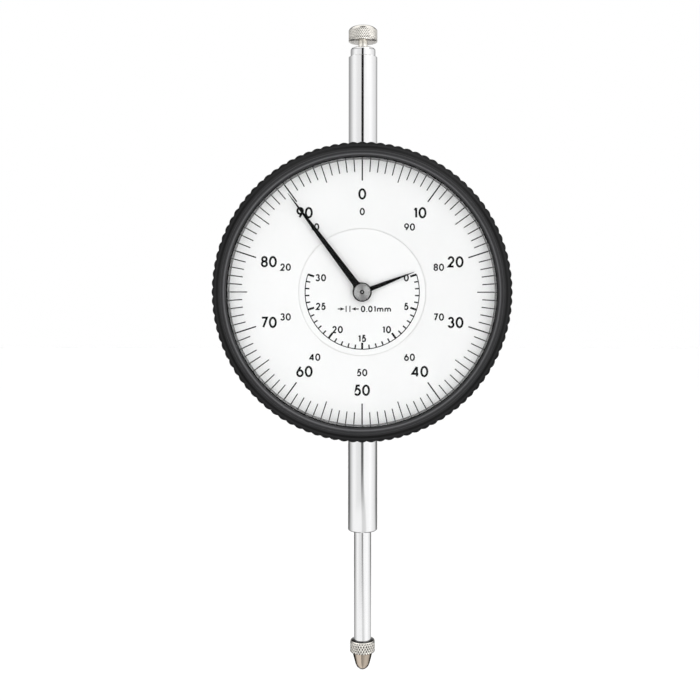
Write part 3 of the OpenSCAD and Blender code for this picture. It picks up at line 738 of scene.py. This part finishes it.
class Ink:
    """Collects thin closed strokes on a flat face, then makes one piece of them."""

    def __init__(self, level):
        self.level = level
        self.strokes = 0
        self.verts = []
        self.faces = []

    def next_lift(self):
        """Each stroke lies a hair higher than the one before, so that crossing strokes never
        share a face."""
        lift = INK_HEIGHT + STROKE_STEP * (self.strokes % STROKE_LIFTS)
        self.strokes += 1
        return lift

    def stroke(self, path, width, closed=False):
        """A flat ribbon along a path of (x, up) points."""
        points = [Vector(p) for p in path]
        count = len(points)
        lift = self.next_lift()
        start = len(self.verts)
        for i, point in enumerate(points):
            into = point - points[i - 1] if i or closed else None
            onto = points[(i + 1) % count] - point if i < count - 1 or closed else None
            ways = [way.normalized() for way in (into, onto) if way]
            normals = [Vector((-way.y, way.x)) for way in ways]
            total = sum(normals, Vector((0, 0)))
            offset = total * (width / total.dot(total) * len(normals) / 2)
            for side, level in ((1, -INK_ROOT), (-1, -INK_ROOT), (-1, lift), (1, lift)):
                spot = point + offset * side
                self.verts.append(on_dial(spot.x, spot.y, self.level + level))
        for i in range(count if closed else count - 1):
            a, b = start + 4 * i, start + 4 * ((i + 1) % count)
            for k in range(4):
                m = (k + 1) % 4
                self.faces.append([a + k, a + m, b + m, b + k])
        if not closed:
            last = start + 4 * (count - 1)
            self.faces.append([start + k for k in range(4)])
            self.faces.append([last + 3 - k for k in range(4)])

    def patch(self, outline):
        """A flat filled shape with convex corners."""
        start, count = len(self.verts), len(outline)
        for level in (-INK_ROOT, self.next_lift()):
            self.verts += [on_dial(x, up, self.level + level) for x, up in outline]
        self.faces.append([start + i for i in range(count)])
        self.faces.append([start + count + i for i in range(count)])
        for i in range(count):
            j = (i + 1) % count
            self.faces.append([start + i, start + j, start + count + j, start + count + i])

    def piece(self, name, body, material):
        """Makes one piece of all the strokes so far."""
        make(name, self.verts, self.faces, body, material)


def arc(cx, cy, rx, ry, first, last, steps=ROUND_STEPS):
    """Points on an ellipse between two angles, in degrees anticlockwise from the right."""
    out = []
    for k in range(steps + 1):
        a = math.radians(first + (last - first) * k / steps)
        out.append((cx + rx * math.cos(a), cy + ry * math.sin(a)))
    return out


def loop(cx, cy, rx, ry):
    """A whole ellipse, without its last point again."""
    return arc(cx, cy, rx, ry, 0, 360)[:-1]


def turned_half(strokes):
    """A glyph's strokes turned half round."""
    return [([(1 - x, 1 - y) for x, y in path], closed) for path, closed in strokes]


# Each glyph: its width as a share of its height, and its strokes in a box of 1 by 1.
SIX = [(loop(0.5, 0.315, 0.5, 0.315), True), ([(0.085, 0.49), (0.62, 1)], False)]
M_LEFT = [(0, 0.34)] + arc(0.25, 0.40, 0.25, 0.24, 175, 0, 10) + [(0.5, 0)]
M_RIGHT = [(0.5, 0.34)] + arc(0.75, 0.40, 0.25, 0.24, 175, 0, 10) + [(1, 0)]
GLYPHS = {
    "0": (0.70, [(loop(0.5, 0.5, 0.5, 0.5), True)]),
    "1": (0.36, [([(0.85, 0), (0.85, 1.02)], False), ([(0, 0.78), (0.85, 0.985)], False)]),
    "2": (0.62, [(arc(0.47, 0.70, 0.47, 0.30, 172, -32) + [(0.02, 0.0), (1, 0.0)], False)]),
    "3": (0.62, [(arc(0.47, 0.765, 0.42, 0.235, 165, -90), False),
                 (arc(0.48, 0.265, 0.50, 0.265, 90, -165), False)]),
    "4": (0.70, [([(0.76, -0.02), (0.76, 1)], False), ([(0.74, 1), (0, 0.26), (1, 0.26)], False)]),
    "5": (0.60, [([(0.95, 1), (0.30, 1), (0.16, 0.58)]
                 + arc(0.44, 0.325, 0.54, 0.325, 112, -150), False)]),
    "6": (0.66, SIX),
    "7": (0.62, [([(0, 1), (1, 1), (0.30, -0.02)], False)]),
    "8": (0.62, [(loop(0.5, 0.765, 0.44, 0.235), True), (loop(0.5, 0.265, 0.5, 0.265), True)]),
    "9": (0.66, turned_half(SIX)),
    ".": (0.12, [([(0.5, -0.06), (0.5, 0.08)], False)]),
    "m": (1.02, [([(0, 0), (0, 0.66)], False), (M_LEFT, False), (M_RIGHT, False)]),
}


def write(ink, words, x, up, height, weight, gap, centred=True):
    """Sets words with the middle, or the left end, of their line at (x, up)."""
    widths = [GLYPHS[c][0] * height for c in words]
    left = x - (sum(widths) + gap * (len(words) - 1)) / 2 if centred else x
    for c, width in zip(words, widths):
        for path, closed in GLYPHS[c][1]:
            placed = []
            for u, v in path:
                placed.append((left + weight / 2 + u * (width - weight),
                               up - height / 2 + weight / 2 + v * (height - weight)))
            ink.stroke(placed, weight, closed)
        left += width + gap


MAIN_DIVISIONS = 100
MAIN_NUMBERS = 10
TICK_OUT = span("spacer_ring")[1].x - 0.98
TICK_IN, FIFTH_TICK_IN, TENTH_TICK_IN = 31.4, 30.0, 29.1
TICK_WIDTH, TENTH_TICK_WIDTH = 0.27, 0.34
NUMERAL_R = 25.6
REVERSE_NUMERAL_R = 21.0
dial_front = front_of("dial_face")
counter_front = front_of("counter_dial")


def print_main_dial():
    ticks = Ink(dial_front)
    for n in range(MAIN_DIVISIONS):
        tenth = n % 10 == 0
        inner = TENTH_TICK_IN if tenth else FIFTH_TICK_IN if n % 5 == 0 else TICK_IN
        degrees = 360 * n / MAIN_DIVISIONS
        ticks.stroke([clock(inner, degrees), clock(TICK_OUT, degrees)],
                     TENTH_TICK_WIDTH if tenth else TICK_WIDTH)
    ticks.piece("main_scale_ticks", "bezel_unit", INK)

    numerals = Ink(dial_front)
    reverse = Ink(dial_front)
    for n in range(MAIN_NUMBERS):
        degrees = 360 / MAIN_NUMBERS * n
        x, up = clock(NUMERAL_R, degrees)
        write(numerals, str(10 * n), x, up, height=2.97, weight=0.53, gap=0.25)
        x, up = clock(REVERSE_NUMERAL_R, -degrees)
        write(reverse, str(10 * n), x, up, height=1.95, weight=0.37, gap=0.19)
    numerals.piece("main_scale_numerals", "bezel_unit", INK)
    reverse.piece("reverse_numerals", "bezel_unit", GREY_INK)


COUNTER_TURNS = 30
COUNTER_STEP = 7.2
COUNTER_START = 72
COUNTER_R = 14.9
COUNTER_LINE_STEPS = 120
COUNTER_LINE_WIDTH = 0.24
COUNTER_TICK_IN, FIFTH_COUNTER_TICK_IN = 13.8, 13.2
COUNTER_TICK_WIDTH, FIFTH_COUNTER_TICK_WIDTH = 0.36, 0.54
COUNTER_NUMERAL_R = 12.1
PAIR_INSET = 0.7
LEGEND_UP = -4.4
BAR_HALF, BAR_WIDTH = 0.8, 0.26
ARROW_LENGTH, ARROW_HALF, SHAFT_WIDTH = 1.1, 0.43, 0.28


def print_counter_scale():
    scale = Ink(counter_front)
    sweep = COUNTER_TURNS * COUNTER_STEP
    scale.stroke([clock(COUNTER_R, COUNTER_START + sweep * k / COUNTER_LINE_STEPS)
                  for k in range(COUNTER_LINE_STEPS + 1)], COUNTER_LINE_WIDTH)
    for n in range(COUNTER_TURNS + 1):
        degrees = COUNTER_START + n * COUNTER_STEP
        fifth = n % 5 == 0
        inner = FIFTH_COUNTER_TICK_IN if fifth else COUNTER_TICK_IN
        scale.stroke([clock(COUNTER_R, degrees), clock(inner, degrees)],
                     FIFTH_COUNTER_TICK_WIDTH if fifth else COUNTER_TICK_WIDTH)
    scale.piece("counter_scale", "housing", INK)

    numerals = Ink(counter_front)
    for n in range(0, COUNTER_TURNS + 1, 5):
        x, up = clock(COUNTER_NUMERAL_R, COUNTER_START + n * COUNTER_STEP)
        if n >= 10 and abs(x) > 1:
            x -= math.copysign(PAIR_INSET, x)
        write(numerals, str(n), x, up, height=1.92, weight=0.38, gap=0.23)
    numerals.piece("counter_numerals", "housing", GREY_INK)


def print_legend():
    """Two arrows that close on a pair of lines, and what one division of the dial stands for."""
    legend = Ink(counter_front)
    up = LEGEND_UP
    for x in (-4.2, -3.2):
        legend.stroke([(x, up - BAR_HALF), (x, up + BAR_HALF)], BAR_WIDTH)
    for tail, tip in ((-6.4, -4.58), (-0.9, -2.8)):
        way = 1 if tip > tail else -1
        root = tip - ARROW_LENGTH * way
        legend.stroke([(tail, up), (tip - 0.5 * way, up)], SHAFT_WIDTH)
        legend.patch([(tip, up), (root, up + ARROW_HALF), (root, up - ARROW_HALF)])
    write(legend, "0.01mm", -0.36, up, height=1.68, weight=0.33, gap=0.26, centred=False)
    legend.piece("resolution_legend", "housing", GREY_INK)


print_main_dial()
print_counter_scale()
print_legend()


# ---- Stage: floor, light and camera ----

FLOOR_DROP = 0.25
FLOOR_HALF = 6.0


def make_floor():
    """A pale floor well below the object, which no metal shows."""
    level = cad_box[0].z - FLOOR_DROP
    corners = [(-FLOOR_HALF, -FLOOR_HALF), (FLOOR_HALF, -FLOOR_HALF),
               (FLOOR_HALF, FLOOR_HALF), (-FLOOR_HALF, FLOOR_HALF)]
    mesh = bpy.data.meshes.new("floor")
    mesh.from_pydata([(x, y, level) for x, y in corners], [], [[0, 1, 2, 3]])
    floor = bpy.data.objects.new("floor", mesh)
    bpy.context.scene.collection.objects.link(floor)
    mesh.materials.append(finish("floor_paper", (0.975, 0.975, 0.975), (0.985, 0.985, 0.985),
                                 0.8, 0.05, 0.1, grain=400))
    floor.visible_glossy = False


# Light round the object, by degrees from the front: less than 0 on its left, more on its right.
# These levels and the dark zones in make_light were tuned against the photo.
ROUND_LIGHT = [
    (-180, 1.00), (-163, 0.95), (-153, 0.40), (-129, 0.42), (-113, 0.60), (-100, 0.74),
    (-88, 0.94), (-67, 1.10), (-50, 1.00), (-32, 0.93), (-16, 0.92),
    (16, 1.12), (50, 1.18), (60, 1.22), (77, 1.12), (88, 1.04), (100, 0.97), (113, 0.92),
    (129, 0.66), (153, 0.40), (163, 0.95), (180, 1.00)
]
LAMP_DIRECTION = Vector((0.50, -0.62, 0.60))
LAMP_LEVEL = 2.0
PANEL_SIZE = 1.3
PANEL_ENERGY = 4.1
PANEL_PLACE = (0, -0.9, 0.12)


def make_light():
    """A white studio, but not a plain one: soft light all round with darker sides, a brighter
    ceiling with a dark spot overhead, a dark gap at the front where the camera stands, and a
    soft lamp at the upper right. The dark zones are there for polished metal to mirror."""
    world = bpy.data.worlds.new("studio")
    bpy.context.scene.world = world
    world.use_nodes = True
    tree = world.node_tree
    nodes, links = tree.nodes, tree.links
    nodes.clear()

    def maths(operation, *values):
        node = nodes.new("ShaderNodeMath")
        node.operation = operation
        for i, value in enumerate(values):
            if isinstance(value, (int, float)):
                node.inputs[i].default_value = value
            else:
                links.new(value, node.inputs[i])
        return node.outputs[0]

    def smooth(value, start, stop, low, high):
        node = nodes.new("ShaderNodeMapRange")
        node.interpolation_type = "SMOOTHSTEP"
        links.new(value, node.inputs["Value"])
        for name, number in zip(("From Min", "From Max", "To Min", "To Max"),
                                (start, stop, low, high)):
            if isinstance(number, (int, float)):
                node.inputs[name].default_value = number
            else:
                links.new(number, node.inputs[name])
        return node.outputs["Result"]

    def dimmed(level, *shares):
        """The level less the share that the shares make when they are multiplied."""
        share = shares[0]
        for more in shares[1:]:
            share = maths("MULTIPLY", share, more)
        return maths("MULTIPLY", level, maths("SUBTRACT", 1, share))

    direction = nodes.new("ShaderNodeTexCoord").outputs["Generated"]
    parts = nodes.new("ShaderNodeSeparateXYZ")
    links.new(direction, parts.inputs[0])
    x, y, z = parts.outputs
    azimuth = maths("ARCTAN2", x, maths("MULTIPLY", y, -1))
    share = maths("ADD", maths("DIVIDE", azimuth, TURN), 0.5)
    height = maths("DEGREES", maths("ARCSINE", z))
    degrees = maths("DEGREES", maths("ABSOLUTE", azimuth))

    curve = nodes.new("ShaderNodeFloatCurve")
    links.new(share, curve.inputs["Value"])
    points = curve.mapping.curves[0].points
    brightest = max(level for _, level in ROUND_LIGHT)
    for i, (angle, level) in enumerate(ROUND_LIGHT):
        at = (angle / 360 + 0.5, level / brightest)
        if i in (0, len(ROUND_LIGHT) - 1):
            points[0 if i == 0 else -1].location = at
        else:
            points.new(*at)
    for point in points:
        point.handle_type = "AUTO_CLAMPED"
    curve.mapping.update()
    around = maths("MULTIPLY", curve.outputs["Value"], brightest)

    # A bright floor to the front, and darker zones low at the sides, low and high at the back,
    # and in a band above and below.
    low_front = maths("MULTIPLY", smooth(degrees, 60, 80, 1.12, 0), smooth(height, -18, -14, 1, 0))
    around = maths("MAXIMUM", around, low_front)
    low_side = maths("MULTIPLY", smooth(height, -19, -14, 0, 1), smooth(height, -8, -3, 1, 0))
    around = dimmed(around, low_side, smooth(degrees, 105, 130, 0, 0.62))
    around = dimmed(around, smooth(height, -26, -21, 1, 0), smooth(degrees, 108, 125, 0, 0.87))
    around = dimmed(around, smooth(height, 15, 19, 0, 1), smooth(degrees, 140, 160, 0, 0.92))
    steep = maths("ABSOLUTE", height)
    around = dimmed(around, smooth(steep, 21, 25, 0, 0.70), smooth(steep, 34, 41, 1, 0))

    # Far below the front, a dark line with more light to the left of it.
    turned = maths("DEGREES", azimuth)
    off_line = maths("ABSOLUTE", maths("ADD", turned, 10))
    low = smooth(height, -42, -36, 1, 0)
    around = dimmed(around, smooth(off_line, 3, 8, 0.75, 0), low)
    low_left = maths("MULTIPLY", smooth(turned, -24, -14, 0.3, 0), low)
    around = maths("MULTIPLY", around, maths("ADD", 1, low_left))

    # The gap for the camera, which leans to the right and fades below.
    gap_level = maths("MINIMUM", smooth(height, -19, -11, 0.75, 0.12),
                      smooth(height, -7, 5, 0.75, 0.01))
    aside = smooth(height, -20, -14, 12.5, -2.3)
    off_camera = maths("ABSOLUTE", maths("SUBTRACT", turned, aside))
    gap = smooth(off_camera, smooth(height, -20, -13, 10, 7), smooth(height, -20, -13, 24, 12),
                 1, 0)
    around = dimmed(around, gap, maths("SUBTRACT", 1, gap_level))

    ceiling = smooth(height, 34, 50, 0, 1)
    overhead = smooth(height, 74, 80, 1.42, 0.05)
    room = maths("ADD", maths("MULTIPLY", around, maths("SUBTRACT", 1, ceiling)),
                 maths("MULTIPLY", ceiling, overhead))

    lamp = nodes.new("ShaderNodeVectorMath")
    lamp.operation = "DOT_PRODUCT"
    lamp.inputs[1].default_value = LAMP_DIRECTION.normalized()
    links.new(direction, lamp.inputs[0])
    room = maths("ADD", room, smooth(lamp.outputs["Value"], 0.90, 0.99, 0, LAMP_LEVEL))

    # The camera itself sees plain white behind the object.
    light = nodes.new("ShaderNodeBackground")
    light.inputs["Color"].default_value = (1, 1, 1, 1)
    links.new(room, light.inputs["Strength"])
    plain = nodes.new("ShaderNodeBackground")
    plain.inputs["Color"].default_value = (1, 1, 1, 1)
    path = nodes.new("ShaderNodeLightPath")
    mix = nodes.new("ShaderNodeMixShader")
    output = nodes.new("ShaderNodeOutputWorld")
    links.new(path.outputs["Is Camera Ray"], mix.inputs[0])
    links.new(light.outputs[0], mix.inputs[1])
    links.new(plain.outputs[0], mix.inputs[2])
    links.new(mix.outputs[0], output.inputs["Surface"])
    bpy.context.scene.view_settings.view_transform = "Standard"


def make_front_panel():
    """A broad soft panel behind the camera, which no metal shows."""
    data = bpy.data.lights.new("front_panel", "AREA")
    data.shape = "SQUARE"
    data.size = PANEL_SIZE
    data.energy = PANEL_ENERGY
    panel = bpy.data.objects.new("front_panel", data)
    panel.location = PANEL_PLACE
    panel.rotation_euler = (math.pi / 2, 0, 0)
    panel.visible_camera = False
    panel.visible_glossy = False
    bpy.context.scene.collection.objects.link(panel)


CAMERA_ASIDE = 0.0033
CAMERA_DISTANCE = 0.2705
CAMERA_ROLL = -0.0009
LENS = 50.75
SENSOR = 36
SHIFT_X = -0.0355
SHIFT_Y = -0.0827


def make_camera():
    """A camera level with the dial's centre, a little to the right of it."""
    data = bpy.data.cameras.new("camera")
    data.lens = LENS
    data.sensor_width = SENSOR
    data.shift_x = SHIFT_X
    data.shift_y = SHIFT_Y
    data.clip_start = 0.01
    data.clip_end = 50
    camera = bpy.data.objects.new("camera", data)
    camera.location = (CAMERA_ASIDE, -CAMERA_DISTANCE, DIAL_UP * MM)
    camera.rotation_euler = (math.pi / 2, CAMERA_ROLL, 0)
    bpy.context.scene.collection.objects.link(camera)
    bpy.context.scene.camera = camera


make_floor()
make_light()
make_front_panel()
make_camera()
